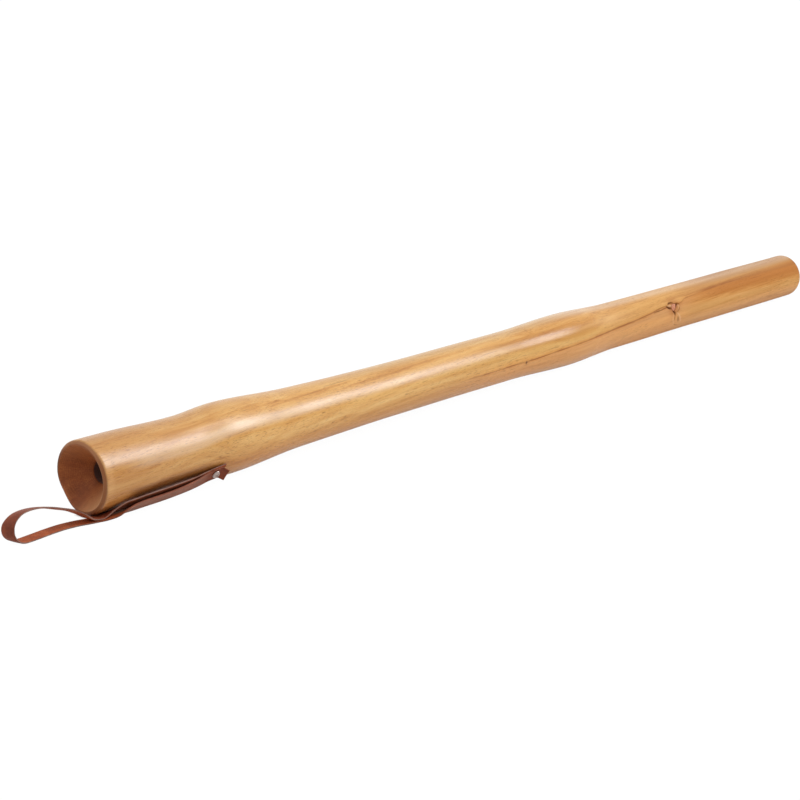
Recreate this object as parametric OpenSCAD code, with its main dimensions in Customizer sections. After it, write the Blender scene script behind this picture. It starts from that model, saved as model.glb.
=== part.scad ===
// Didgeridoo: a bored hardwood tube with two swells and a turned bell mouth,
// carrying a folded leather hanging strap on one screw.
// Millimetres. X runs along the bore from the bell to the mouthpiece, +Z is up
// and the screw is on the -Y side. The origin is the centre of the bell mouth.

/* [Tube] */
// Overall length
tube_l = 1300; // [1100:10:1600]
// Outside diameter at the bell rim
bell_d = 82; // [70:1:110]
// Length of the even part behind the bell rim
bell_l = 45; // [30:1:70]
// Outside diameter of the waist behind the bell
waist_d = 75.4; // [64:0.2:100]
// Distance of that waist from the bell rim
waist_x = 140; // [120:5:180]
// Outside diameter of the first swell
swell_d = 82; // [70:1:110]
// Distance of the first swell from the bell rim
swell_x = 200; // [185:5:260]
// Outside diameter where the first swell runs out
taper_d = 69.8; // [60:0.2:90]
// Distance of that run-out from the bell rim
taper_x = 310; // [280:5:360]
// Outside diameter of the long middle
middle_d = 63.2; // [54:0.2:82]
// Distance of the long middle from the bell rim
middle_x = 468; // [420:2:540]
// Outside diameter of the slim place before the second swell
slim_d = 61.6; // [52:0.2:80]
// Distance of that slim place from the bell rim
slim_x = 680; // [620:5:730]
// Outside diameter of the second swell
ring_d = 68; // [56:1:90]
// Distance of the second swell from the bell rim
ring_x = 795; // [750:5:850]
// Outside diameter just past the second swell
neck_d = 59.6; // [50:0.2:76]
// Distance of that neck from the bell rim
neck_x = 893; // [865:1:940]
// Outside diameter at the mouthpiece end
mouth_d = 57.2; // [48:0.2:72]
// Diameter of the bore
bore_d = 24; // [20:1:32]

/* [Bell and mouthpiece] */
// Depth of the turned cone in the bell mouth
bell_depth = 28; // [20:1:45]
// Wall at the bell rim, from the cone to the outside
rim_w = 5; // [4.6:0.2:8]
// Round-over on the outer edge of the rim
rim_round = 4.2; // [1:0.2:4.4]
// Diameter of the eased opening in the mouthpiece
lip_d = 30; // [26:1:36]
// Length of the ease behind the mouthpiece opening
lip_ease = 22; // [12:1:40]
// Round-over on the outer edge of the mouthpiece
lip_round = 8; // [4:0.5:10]
// Round-over on the inner edge of the mouthpiece
lip_in = 3; // [1:0.5:3]

/* [Knot] */
// Distance of the knot from the bell rim
knot_x = 996; // [940:2:1060]
// Height of the knot round the tube, in degrees above the level of the bore
knot_angle = 22; // [0:1:45]
// Diameter of the knot near the surface
knot_d = 13; // [8:1:16]
// Lean of the branch stub towards the bell
knot_lean = 38; // [20:1:45]

/* [Strap] */
// Width of the leather
strap_w = 16.5; // [12:0.5:22]
// Thickness of the leather
strap_t = 1.8; // [1.2:0.1:2.6]
// Length of the ends beyond the screw
strap_end = 13; // [10:1:18]
// Lift of the outer end where it curls away from the inner one
end_lift = 5.4; // [2:0.2:7]
// How far the doubled strap springs off the side between the screw and the bell
strap_spring = 4; // [0:0.5:5]
// Reach of the loop in front of the bell rim
loop_l = 108; // [80:1:160]
// Height of the loop above the ground
loop_h = 33; // [24:1:42]

/* [Screw] */
// Distance of the screw from the bell rim
screw_x = 160; // [150:1:185]
// Depth of the screw round the tube, in degrees below the level of the bore
screw_angle = 34; // [25:1:40]
// Diameter of the shank
shank_d = 4; // [3:0.5:5]
// Length of the shank under the head
shank_l = 22; // [16:1:26]
// Diameter of the head
head_d = 10; // [8:0.5:12]
// Height of the head
head_h = 3.2; // [2:0.2:4]
// Running clearance of the shank in the punched leather
hole_gap = 0.1; // [0.05:0.05:0.1]
// Gap between leather and the faces it lies on
seat_gap = 0.15; // [0.1:0.05:0.3]

/* [Hidden] */
bore_r = bore_d / 2;
mouth_r = mouth_d / 2;
rim_in = bell_d / 2 - rim_w;

// Stations of the outside, from the bell to the mouthpiece
tube_x = [0, bell_l, waist_x, swell_x, taper_x, middle_x, slim_x, ring_x, neck_x, tube_l];
tube_d = [bell_d, bell_d - 0.4, waist_d, swell_d, taper_d, middle_d, slim_d, ring_d, neck_d, mouth_d];

// Slope at a station: level where the outline turns, else between its neighbours
function slope(xs, ys, i) =
    let (a = i > 0 ? (ys[i] - ys[i - 1]) / (xs[i] - xs[i - 1]) : 0)
    let (b = i < len(xs) - 1 ? (ys[i + 1] - ys[i]) / (xs[i + 1] - xs[i]) : a)
    a * b > 0 ? 2 * a * b / (a + b) : 0;

function span(xs, x, i = 0) = i >= len(xs) - 2 || x <= xs[i + 1] ? i : span(xs, x, i + 1);

// Smooth curve through stations that never swings past them
function smooth(xs, ys, x) =
    let (i = span(xs, x))
    let (h = xs[i + 1] - xs[i])
    let (u = (x - xs[i]) / h)
    ys[i] * (1 - u) * (1 - u) * (1 + 2 * u)
    + ys[i + 1] * u * u * (3 - 2 * u)
    + h * slope(xs, ys, i) * u * (1 - u) * (1 - u)
    - h * slope(xs, ys, i + 1) * u * u * (1 - u);

function tube_r(x) = smooth(tube_x, tube_d, x) / 2;

// Points of a round-over about a centre, from one angle to another
function arc(c, r, from, to) =
    [for (i = [0:6]) let (a = from + (to - from) * i / 6) c + r * [cos(a), sin(a)]];

// The ground that the lying tube touches with a swell and its mouthpiece end
ground_end = tube_l - lip_round;
bell_rise = (bell_d / 2 - mouth_r) / (ground_end - bell_l);
swell_rise = (swell_d / 2 - mouth_r) / (ground_end - swell_x);
ground_rise = max(bell_rise, swell_rise);
function ground(x) = -mouth_r - ground_rise * (ground_end - x);

// Seat of the strap: its lower face at the screw, measured from the bore axis
seat_r = max(tube_r(screw_x + strap_end), tube_r(screw_x - strap_end)) + seat_gap;
ply = strap_t + seat_gap;
head_seat = seat_r + 2 * ply;

// Direction away from the bore at an angle below level, and the one up the tube's side
function out(a) = [0, -cos(a), -sin(a)];
function up(a) = [0, -sin(a), cos(a)];

// Middle of the leather beside the tube: out from the bore and up the side at the screw
function beside(x, c, t) = [x, 0, 0] + c * out(screw_angle) + t * up(screw_angle);

// Middle of the leather on the ground in front of the bell
function before(x, y, h) = [x, -y, ground(x) + h];

rest_h = strap_t / 2;
tuck_x = 6;
tuck_far = sqrt(max(0, pow(bell_d / 2 + 2 * seat_gap, 2) - pow(-ground(tuck_x) - 2 * ply, 2)));
tuck_y = max(tuck_far + strap_w / 2 - 0.8, 12);
seat_c = seat_r + strap_t / 2;

// Upper ply from its end under the screw to the bell mouth: [middle, lean],
// followed by the lower ply's distance from it, its sag and its extra lean
upper = [
    [beside(screw_x + strap_end, seat_c, 1.2), screw_angle, end_lift, 2.6, 4],
    [beside(screw_x + head_d / 2 + 1, seat_c, -0.2), screw_angle, seat_gap, 0.2, 0],
    [beside(screw_x, seat_c, -1.2), screw_angle, seat_gap, 0, 0],
    [beside(screw_x - strap_end, seat_c, -4), screw_angle, seat_gap, 0.4, 0],
    [beside(125, max(tube_r(125) + 1.6, (seat_c + tube_r(90)) / 2 + 0.6) + 0.5 * strap_spring,
        -7.6 + 0.8 * strap_spring), screw_angle + 3, 1.1, 1.6, 3],
    [beside(90, tube_r(90) + 1.1 + strap_spring, -9.6 + 1.5 * strap_spring), screw_angle + 7, 2.2, 2.6, 4],
    [beside(50, tube_r(50) + 0.4 + strap_spring, -10.4 + 1.5 * strap_spring), screw_angle + 8, 2.2, 2.2, 4],
    [beside(32, tube_r(32) + 0.1 + 0.65 * strap_spring, -11.8 + strap_spring),
        screw_angle + 11, 3.6, 0.8, 11],
    [beside(19, tube_r(19) - 0.9 + 0.25 * strap_spring, -16.2 + 0.4 * strap_spring),
        screw_angle + 28, 4, -2.2, 16],
    [before(tuck_x, tuck_y, rest_h + ply + seat_gap), 86, seat_gap, 0, 0]
];

// The fold: [middle, lean, turn of the width seen from above]
fold = [
    [before(-5, tuck_y - 1, 0.15 * loop_h), 88, 2],
    [before(-16, tuck_y - 4, 0.37 * loop_h), 83, 4],
    [before(-27, tuck_y - 6.3, 0.55 * loop_h), 80, 4],
    [before(-0.38 * loop_l, tuck_y - 7, 0.7 * loop_h), 78, 2],
    [before(-0.54 * loop_l, tuck_y - 7.5, 0.86 * loop_h), 77, 0],
    [before(-0.71 * loop_l, tuck_y - 7.5, 0.96 * loop_h), 76, 4],
    [before(-0.85 * loop_l, tuck_y - 7.3, 0.95 * loop_h), 76, 8],
    [before(-0.94 * loop_l, tuck_y - 7, 0.83 * loop_h), 78, 12],
    [before(-loop_l, tuck_y - 7, 0.6 * loop_h), 84, 15],
    [before(-loop_l, tuck_y - 6.7, 0.37 * loop_h), 90, 15],
    [before(-0.95 * loop_l, tuck_y - 6.5, 0.15 * loop_h), 90, 12],
    [before(-0.87 * loop_l, tuck_y - 6.3, rest_h), 90, 8],
    [before(-0.77 * loop_l, tuck_y - 6.5, rest_h), 90, 6],
    [before(-0.61 * loop_l, tuck_y - 8.5, rest_h), 90, 5],
    [before(-0.41 * loop_l, tuck_y - 10, rest_h), 90, 0],
    [before(-0.22 * loop_l, tuck_y - 8, rest_h), 90, -8],
    [before(-7, tuck_y - 3.2, rest_h), 90, -9]
];

last = len(upper) - 1;
path = concat(
    [for (u = upper) concat(u[0], [u[1], 0])],
    [for (f = fold) concat(f[0], [f[1], f[2]])],
    [concat(before(tuck_x, tuck_y, rest_h), [90, -4])],
    [for (i = [last - 1:-1:0]) let (u = upper[i])
        concat(u[0] + (strap_t + u[2]) * out(u[1]) - u[3] * up(u[1]), [u[1] + u[4], 0])]
);
steps = 5;
marks = [for (i = [0:len(path) - 1]) i];
rows = [for (k = [0:4]) [for (p = path) p[k]]];
count = (len(path) - 1) * steps + 1;
function along(i) = [for (k = [0:4]) smooth(marks, rows[k], i / steps)];
mid = [for (i = [0:count - 1]) along(i)];

// How far a section has to move out so that the leather stays clear of the wood beside it
function push(i, p) =
    let (lean = mid[i][3])
    let (edge = max(0, abs(p * up(lean)) - strap_w / 2))
    let (wood = p[0] < rim_round ? 0 : tube_r(p[0]) + seat_gap + (2 * i > count ? ply : 0))
    max(0, sqrt(max(0, wood * wood - edge * edge)) + strap_t / 2 - p * out(lean));

function point(i) =
    let (p = [mid[i][0], mid[i][1], mid[i][2]])
    p + push(i, p) * out(mid[i][3]);
function across(i) =
    let (lean = mid[i][3])
    let (turn = mid[i][4])
    [sin(turn), -sin(lean) * cos(turn), cos(lean)];
function unit(v) = v / norm(v);
function run(i) = unit(point(min(i + 1, count - 1)) - point(max(i - 1, 0)));
function face(i) = unit(cross(across(i), run(i)));

$fn = 96;

// Places children on the bore axis, their Z pointing out at an angle above level on the -Y side
module radial(x, a) {
    translate([x, 0, 0])
        rotate([90 - a, 0, 0])
            children();
}

// Turns a profile of [radius, distance from the bell] about the bore
module turned(profile) {
    rotate([0, 90, 0])
        rotate_extrude()
            polygon(profile);
}

outside = concat(
    arc([bell_d / 2 - rim_round, rim_round], rim_round, -90, 0),
    [for (i = [1:79]) let (x = rim_round + (tube_l - lip_round - rim_round) * i / 80) [tube_r(x), x]],
    arc([mouth_r - lip_round, tube_l - lip_round], lip_round, 0, 90)
);
inside = concat(
    arc([lip_d / 2 + lip_in, tube_l - lip_in], lip_in, 90, 180),
    [[bore_r, tube_l - lip_ease], [bore_r, bell_depth], [rim_in, 0]]
);

// Branch stub, running down through the wall and leaning towards the bell
module stub() {
    radial(knot_x, knot_angle)
        translate([0, 0, tube_r(knot_x)])
            rotate([0, -knot_lean, 0])
                translate([0, 0, -15])
                    cylinder(h = 30, d1 = 0.55 * knot_d, d2 = 1.45 * knot_d);
}

// Shank from under the head to the tip, shared by the screw and its hole
module shank() {
    rotate_extrude()
        polygon([
            [0, head_seat - shank_l],
            [0, head_seat],
            [shank_d / 2, head_seat],
            [shank_d / 2, head_seat - shank_l + 5],
            [0.6, head_seat - shank_l]
        ]);
}

module tube() {
    color([0.78, 0.56, 0.33])
        difference() {
            turned(concat(outside, inside));
            stub();
            radial(screw_x, -screw_angle)
                shank();
        }
}

module branch_knot() {
    color([0.62, 0.36, 0.26])
        intersection() {
            stub();
            turned(concat([[0, 0]], outside, [[0, tube_l]]));
        }
}

module strap() {
    half = strap_w / 2;
    color([0.45, 0.2, 0.13])
        difference() {
            polyhedron(
                points = [
                    for (i = [0:count - 1])
                        for (c = [[-1, -1], [1, -1], [1, 1], [-1, 1]])
                            point(i) + c[0] * half * across(i) + c[1] * strap_t / 2 * face(i)
                ],
                faces = concat(
                    [[0, 1, 2], [0, 2, 3]],
                    [
                        for (i = [0:count - 2])
                            for (k = [0:3])
                                each [
                                    [4 * i + k, 4 * i + 4 + k, 4 * i + 4 + (k + 1) % 4],
                                    [4 * i + k, 4 * i + 4 + (k + 1) % 4, 4 * i + (k + 1) % 4]
                                ]
                    ],
                    [[4 * count - 4, 4 * count - 2, 4 * count - 3], [4 * count - 4, 4 * count - 1, 4 * count - 2]]
                )
            );
            radial(screw_x, -screw_angle)
                translate([0, 0, seat_r - 5])
                    cylinder(h = 15, r = shank_d / 2 + hole_gap);
        }
}

module strap_screw() {
    slot_w = 0.16 * head_d;
    color([0.75, 0.75, 0.73])
        radial(screw_x, -screw_angle)
            difference() {
                union() {
                    shank();
                    translate([0, 0, head_seat])
                        rotate_extrude()
                            polygon([
                                [0, 0],
                                [head_d / 2, 0],
                                [head_d / 2, 0.2 * head_h],
                                [0.46 * head_d, 0.5 * head_h],
                                [0.36 * head_d, 0.8 * head_h],
                                [0.2 * head_d, 0.96 * head_h],
                                [0, head_h]
                            ]);
                }
                for (a = [0, 90])
                    translate([0, 0, head_seat + head_h])
                        rotate([0, 0, a + 20])
                            cube([0.46 * head_d, slot_w, head_h], center = true);
            }
}

tube();
branch_knot();
strap();
strap_screw();
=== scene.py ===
"""Looks of a bored hardwood didgeridoo with a folded leather hanging loop.

Sizes are millimetres in the frame of the CAD part, and MM turns them into metres.
X runs along the bore from the bell, +Z is up and the screw is on the -Y side.
Angles called phi are degrees above the level of the bore on the -Y side.
The strap's lean and the screw's angle are degrees below that level.
"""

import math
from functools import reduce
from types import SimpleNamespace

import bmesh
import bpy
import numpy as np
from mathutils import Matrix, Vector

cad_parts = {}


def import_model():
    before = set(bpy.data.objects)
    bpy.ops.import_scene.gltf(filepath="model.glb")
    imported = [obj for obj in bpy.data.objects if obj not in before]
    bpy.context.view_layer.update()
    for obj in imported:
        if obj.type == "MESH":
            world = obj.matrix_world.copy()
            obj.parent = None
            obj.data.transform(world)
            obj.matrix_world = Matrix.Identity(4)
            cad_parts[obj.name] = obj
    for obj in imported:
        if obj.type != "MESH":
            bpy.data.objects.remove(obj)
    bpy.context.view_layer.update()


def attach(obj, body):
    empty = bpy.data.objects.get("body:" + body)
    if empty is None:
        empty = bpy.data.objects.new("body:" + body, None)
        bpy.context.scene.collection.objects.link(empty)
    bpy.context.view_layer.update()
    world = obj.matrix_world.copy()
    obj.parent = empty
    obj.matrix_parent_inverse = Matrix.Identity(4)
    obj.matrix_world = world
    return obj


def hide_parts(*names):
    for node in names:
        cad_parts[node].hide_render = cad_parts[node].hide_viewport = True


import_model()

MM = 0.001
PER_DEGREE = math.radians(1)

# ---- the forms of the part, as the CAD source has them

TUBE_L = 1300.0
TUBE_X = [0, 45, 140, 200, 310, 468, 680, 795, 893, TUBE_L]
TUBE_D = [82, 81.6, 75.4, 82, 69.8, 63.2, 61.6, 68, 59.6, 57.2]
BELL_R, MOUTH_R, BORE_R = 41.0, 28.6, 12.0
BELL_DEPTH, RIM_W, RIM_ROUND = 28.0, 5.0, 4.2
LIP_R, LIP_EASE, LIP_ROUND, LIP_IN = 15.0, 22.0, 8.0, 3.0

STRAP_W, STRAP_T, STRAP_END, END_LIFT, STRAP_SPRING = 16.5, 1.8, 13.0, 5.4, 4.0
LOOP_L, LOOP_H = 108.0, 33.0
TUCK_X, TUCK_UNDER, TUCK_LEAST = 6, 0.8, 12
SCREW_X, SCREW_ANGLE = 160.0, 34.0
SHANK_D, SHANK_L, HEAD_D, HEAD_H = 4.0, 22.0, 10.0, 3.2
HOLE_GAP, SEAT_GAP = 0.1, 0.15


def slopes(xs, ys):
    """Slopes of a curve at its stations, level wherever it turns back."""
    d = np.diff(ys) / np.diff(xs)
    a = np.concatenate([[0.0], d])
    b = np.concatenate([d, d[-1:]])
    same = a * b > 0
    return np.where(same, 2 * a * b / np.where(same, a + b, 1.0), 0.0)


def smooth(xs, ys, x):
    """The curve through stations that never swings past them."""
    xs, ys, x = (np.asarray(v, float) for v in (xs, ys, x))
    m = slopes(xs, ys)
    i = np.clip(np.searchsorted(xs, x) - 1, 0, len(xs) - 2)
    h = xs[i + 1] - xs[i]
    u = (x - xs[i]) / h
    ends = ys[i] * (1 - u) ** 2 * (1 + 2 * u) + ys[i + 1] * u * u * (3 - 2 * u)
    return ends + h * m[i] * u * (1 - u) ** 2 - h * m[i + 1] * u * u * (1 - u)


def tube_r(x):
    """Radius of the outside."""
    return smooth(TUBE_X, TUBE_D, x) / 2


def fade(x, lo, hi):
    """0 at lo, 1 at hi, smooth between; lo may lie above hi."""
    t = np.clip((np.asarray(x, float) - lo) / (hi - lo), 0, 1)
    return t * t * (3 - 2 * t)


GROUND_END = TUBE_L - LIP_ROUND
GROUND_AT = (45, 200)  # the bell and the first swell
GROUND_RISE = max((BELL_R - MOUTH_R) / (GROUND_END - x) for x in GROUND_AT)


def ground(x):
    """Height of the ground, which slopes in this frame because the tube tapers."""
    return -MOUTH_R - GROUND_RISE * (GROUND_END - x)


def out(a):
    """The direction out of the tube at that many degrees below level on the -Y side."""
    a = math.radians(a)
    return np.array([0, -math.cos(a), -math.sin(a)])


def up(a):
    """The direction up the tube's side there."""
    a = math.radians(a)
    return np.array([0, -math.sin(a), math.cos(a)])


SEAT_R = float(max(tube_r(SCREW_X + STRAP_END), tube_r(SCREW_X - STRAP_END))) + SEAT_GAP
PLY = STRAP_T + SEAT_GAP
HEAD_SEAT = SEAT_R + 2 * PLY


def strap_route():
    """Rows of [x, y, z, lean, turn] along the middle of the leather, as in the CAD source."""

    def beside(x, c, t):
        return np.array([x, 0, 0]) + c * out(SCREW_ANGLE) + t * up(SCREW_ANGLE)

    def before(x, y, h):
        return np.array([x, -y, ground(x) + h])

    rest_h = STRAP_T / 2
    tuck_far = math.sqrt((BELL_R + 2 * SEAT_GAP) ** 2 - (-ground(TUCK_X) - 2 * PLY) ** 2)
    tuck_y = max(tuck_far + STRAP_W / 2 - TUCK_UNDER, TUCK_LEAST)
    seat_c, spring = SEAT_R + STRAP_T / 2, STRAP_SPRING
    r = {x: float(tube_r(x)) for x in (125, 90, 50, 32, 19)}
    parting_c = max(r[125] + 1.6, (seat_c + r[90]) / 2 + 0.6) + 0.5 * spring
    # point and lean of the inner ply; then the outer ply's gap, its sag and how much more it leans
    inner = [
        (beside(SCREW_X + STRAP_END, seat_c, 1.2), SCREW_ANGLE, END_LIFT, 2.6, 4),
        (beside(SCREW_X + HEAD_D / 2 + 1, seat_c, -0.2), SCREW_ANGLE, SEAT_GAP, 0.2, 0),
        (beside(SCREW_X, seat_c, -1.2), SCREW_ANGLE, SEAT_GAP, 0, 0),
        (beside(SCREW_X - STRAP_END, seat_c, -4), SCREW_ANGLE, SEAT_GAP, 0.4, 0),
        (beside(125, parting_c, -7.6 + 0.8 * spring), SCREW_ANGLE + 3, 1.1, 1.6, 3),
        (beside(90, r[90] + 1.1 + spring, -9.6 + 1.5 * spring), SCREW_ANGLE + 7, 2.2, 2.6, 4),
        (beside(50, r[50] + 0.4 + spring, -10.4 + 1.5 * spring), SCREW_ANGLE + 8, 2.2, 2.2, 4),
        (beside(32, r[32] + 0.1 + 0.65 * spring, -11.8 + spring), SCREW_ANGLE + 11, 3.6, 0.8, 11),
        (beside(19, r[19] - 0.9 + 0.25 * spring, -16.2 + 0.4 * spring), SCREW_ANGLE + 28, 4, -2.2, 16),
        (before(TUCK_X, tuck_y, rest_h + PLY + SEAT_GAP), 86, SEAT_GAP, 0, 0),
    ]
    # x, shift to the side, height over the ground, lean and turn of the open fold
    fold = [
        (-5, -1, 0.15 * LOOP_H, 88, 2),
        (-16, -4, 0.37 * LOOP_H, 83, 4),
        (-27, -6.3, 0.55 * LOOP_H, 80, 4),
        (-0.38 * LOOP_L, -7, 0.7 * LOOP_H, 78, 2),
        (-0.54 * LOOP_L, -7.5, 0.86 * LOOP_H, 77, 0),
        (-0.71 * LOOP_L, -7.5, 0.96 * LOOP_H, 76, 4),
        (-0.85 * LOOP_L, -7.3, 0.95 * LOOP_H, 76, 8),
        (-0.94 * LOOP_L, -7, 0.83 * LOOP_H, 78, 12),
        (-LOOP_L, -7, 0.6 * LOOP_H, 84, 15),
        (-LOOP_L, -6.7, 0.37 * LOOP_H, 90, 15),
        (-0.95 * LOOP_L, -6.5, 0.15 * LOOP_H, 90, 12),
        (-0.87 * LOOP_L, -6.3, rest_h, 90, 8),
        (-0.77 * LOOP_L, -6.5, rest_h, 90, 6),
        (-0.61 * LOOP_L, -8.5, rest_h, 90, 5),
        (-0.41 * LOOP_L, -10, rest_h, 90, 0),
        (-0.22 * LOOP_L, -8, rest_h, 90, -8),
        (-7, -3.2, rest_h, 90, -9),
    ]
    rows = [[*p, lean, 0] for p, lean, *_ in inner]
    rows += [[*before(x, tuck_y + dy, h), lean, turn] for x, dy, h, lean, turn in fold]
    rows += [[*before(TUCK_X, tuck_y, rest_h), 90, -4]]
    rows += [
        [*(p + (STRAP_T + gap) * out(lean) - sag * up(lean)), lean + more, 0]
        for p, lean, gap, sag, more in inner[-2::-1]
    ]
    return np.array(rows, float)


# ---- meshes


def link(obj):
    bpy.context.scene.collection.objects.link(obj)
    return obj


def face_out(obj):
    b = bmesh.new()
    b.from_mesh(obj.data)
    bmesh.ops.recalc_face_normals(b, faces=b.faces)
    b.to_mesh(obj.data)
    b.free()


def shade_smooth(mesh):
    mesh.polygons.foreach_set("use_smooth", np.ones(len(mesh.polygons), bool))


def make_piece(name, verts, faces, materials=(), face_materials=None):
    """An object from points in mm, shaded smooth, with its faces turned outwards."""
    mesh = bpy.data.meshes.new(name)
    mesh.from_pydata((np.asarray(verts) * MM).tolist(), [], faces)
    for material in materials:
        mesh.materials.append(material)
    shade_smooth(mesh)
    if face_materials is not None:
        mesh.polygons.foreach_set("material_index", np.asarray(face_materials, np.int32))
    mesh.update()
    obj = link(bpy.data.objects.new(name, mesh))
    face_out(obj)
    return obj


def grid_faces(rows, cols, close_rows=False):
    """Quads between rings of points, and from the last ring to the first if asked."""
    i = np.arange(rows if close_rows else rows - 1)
    i, j = np.meshgrid(i, np.arange(cols), indexing="ij")
    i2, j2 = (i + 1) % rows, (j + 1) % cols
    quads = [i * cols + j, i * cols + j2, i2 * cols + j2, i2 * cols + j]
    return np.stack([q.ravel() for q in quads], 1).tolist()


def capped_faces(rows, cols):
    """Quads between rings of points, with a cap on the first ring and on the last."""
    last = (rows - 1) * cols
    return grid_faces(rows, cols) + [list(range(cols)), list(range(last, last + cols))[::-1]]


def cut_away(obj, cutter):
    cut = obj.modifiers.new("cut", "BOOLEAN")
    cut.operation = "DIFFERENCE"
    cut.solver = "EXACT"
    cut.object = cutter
    bpy.context.view_layer.objects.active = obj
    with bpy.context.temp_override(object=obj, active_object=obj, selected_objects=[obj]):
        bpy.ops.object.modifier_apply(modifier=cut.name)
    bpy.data.objects.remove(cutter)


SCREW_FOOT = np.array([SCREW_X, 0, 0])
ALONG = np.array([1.0, 0, 0])


def at_screw(x, y, z):
    """Points x up the side, y along the tube and z out along the screw's axis, from the bore."""
    x, y, z = (np.asarray(v, float)[..., None] for v in (x, y, z))
    return SCREW_FOOT + x * up(SCREW_ANGLE) + y * ALONG + z * out(SCREW_ANGLE)


def screw_rings(profile, count):
    """Rings of points round the screw's axis, one for each (radius, z)."""
    a = np.radians(np.arange(count) * 360 / count)
    return np.vstack([at_screw(r * np.cos(a), r * np.sin(a), np.full(count, z)) for r, z in profile])


# ---- material helpers


def srgb(*rgb):
    """Linear colour from values of 0 to 255."""
    linear = [(c / 255 / 12.92 if c <= 10 else ((c / 255 + 0.055) / 1.055) ** 2.4) for c in rgb]
    return (*linear, 1.0)


class Graph:
    """The nodes of a material or a world under construction."""

    def __init__(self, owner):
        owner.use_nodes = True
        self.owner = owner
        self.tree = owner.node_tree

    @classmethod
    def material(cls, name):
        return cls(bpy.data.materials.new(name))

    def put(self, socket, value):
        if isinstance(value, bpy.types.NodeSocket):
            self.tree.links.new(value, socket)
        else:
            socket.default_value = value

    def node(self, kind, inputs, **settings):
        n = self.tree.nodes.new("ShaderNode" + kind)
        for key, value in settings.items():
            setattr(n, key, value)
        for key, value in inputs.items():
            self.put(n.inputs[key], value)
        return n

    def math(self, operation, *values):
        return self.node("Math", dict(enumerate(values)), operation=operation).outputs[0]

    def add(self, *values):
        return reduce(lambda a, b: self.math("ADD", a, b), values)

    def mul(self, *values):
        return reduce(lambda a, b: self.math("MULTIPLY", a, b), values)

    def hypot(self, a, b):
        return self.math("SQRT", self.add(self.mul(a, a), self.mul(b, b)))

    def around(self, value, weight):
        """weight times how far a noise value lies from its middle."""
        return self.math("MULTIPLY_ADD", value, weight, -0.5 * weight)

    def between(self, share, a, b):
        """a where share is 0, b where it is 1."""
        return self.math("MULTIPLY_ADD", share, b - a, a)

    def step(self, value, lo, hi):
        """0 at lo, 1 at hi, smooth between; lo may lie above hi."""
        inputs = {"Value": value, 1: min(lo, hi), 2: max(lo, hi), 3: 0.0, 4: 1.0}
        rise = self.node("MapRange", inputs, interpolation_type="SMOOTHSTEP").outputs[0]
        return rise if lo < hi else self.math("SUBTRACT", 1.0, rise)

    def window(self, value, a, b, c, d):
        """0 up to a, 1 from b to c, 0 after d, smooth between."""
        return self.mul(self.step(value, a, b), self.step(value, d, c))

    def scaled(self, vector, x, y, z):
        return self.node("VectorMath", {0: vector, 1: (x, y, z)}, operation="MULTIPLY").outputs[0]

    def noise(self, vector, detail=2.0, roughness=0.5, output="Fac"):
        inputs = {"Vector": vector, "Scale": 1.0, "Detail": detail, "Roughness": roughness}
        return self.node("TexNoise", inputs).outputs[output]

    def cells(self, vector, feature):
        inputs = {"Vector": vector, "Scale": 1.0}
        return self.node("TexVoronoi", inputs, feature=feature).outputs["Distance"]

    def mix(self, share, a, b, blend="MIX"):
        n = self.node("Mix", {0: share, 6: a, 7: b}, data_type="RGBA", blend_type=blend)
        return n.outputs[2]

    def tint(self, share, colour, factors):
        """colour times factors of red, green and blue, by that share."""
        return self.mix(share, colour, (*factors, 1), blend="MULTIPLY")

    def ramp(self, value, stops):
        n = self.node("ValToRGB", {"Fac": value})
        points = n.color_ramp.elements
        while len(points) < len(stops):
            points.new(0.5)
        for point, (at, colour) in zip(points, stops):
            point.position = at
            point.color = colour
        return n.outputs["Color"]

    def curve(self, value, points):
        """A smooth curve through points in 0 to 1, both ways."""
        n = self.node("FloatCurve", {"Factor": 1.0, "Value": value})
        c = n.mapping.curves[0]
        c.points[0].location = points[0]
        c.points[-1].location = points[-1]
        for p in points[1:-1]:
            c.points.new(*p)
        n.mapping.update()
        return n.outputs[0]

    def bump(self, height, distance_mm, strength):
        inputs = {"Height": height, "Distance": distance_mm * MM, "Strength": strength}
        return self.node("Bump", inputs).outputs[0]

    def place(self):
        return self.node("TexCoord", {}).outputs["Object"]

    def xyz(self, vector):
        return self.node("SeparateXYZ", {0: vector}).outputs

    def xyz_mm(self, vector):
        return [self.mul(v, 1 / MM) for v in self.xyz(vector)]

    def finish(self, **sockets):
        """Sets inputs of the Principled shader, _ for a space, and gives the material."""
        shader = self.tree.nodes["Principled BSDF"]
        for key, value in sockets.items():
            self.put(shader.inputs[key.replace("_", " ")], value)
        return self.owner


# ---- wood

KNOT_R, KNOT_X, KNOT_PHI = 29.6, 999.5, 24
KNOT_PAINT = "knot_paint"
GRAIN_TWIST = 1.05
PITH_Y, PITH_Z = 6.0, -5.0
PIN_KNOT_X, PIN_KNOT_PHI = 693, -8.3
# MOUTH_SHADE is painted shade, the light falling off towards the mouthpiece; BELL_TINT darkens the wood
# near the bell
MOUTH_SHADE, BELL_TINT = (0.9, 0.79, 0.66), (0.79, 0.7, 0.66)
# x and phi along the slanting grain line
GRAIN_LINE = [
    (440, -14), (560, -8), (625, -8), (670, -6.6), (700, -6.4), (738, -2.7), (785, 1.5),
    (836, 6), (880, 11.4), (913, 15), (946, 20.8), (965, 24.4), (988, 26), (1013, 27),
    (1030, 36), (1062, 40), (1101, 45), (1142, 47.5), (1300, 50),
]


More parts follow.
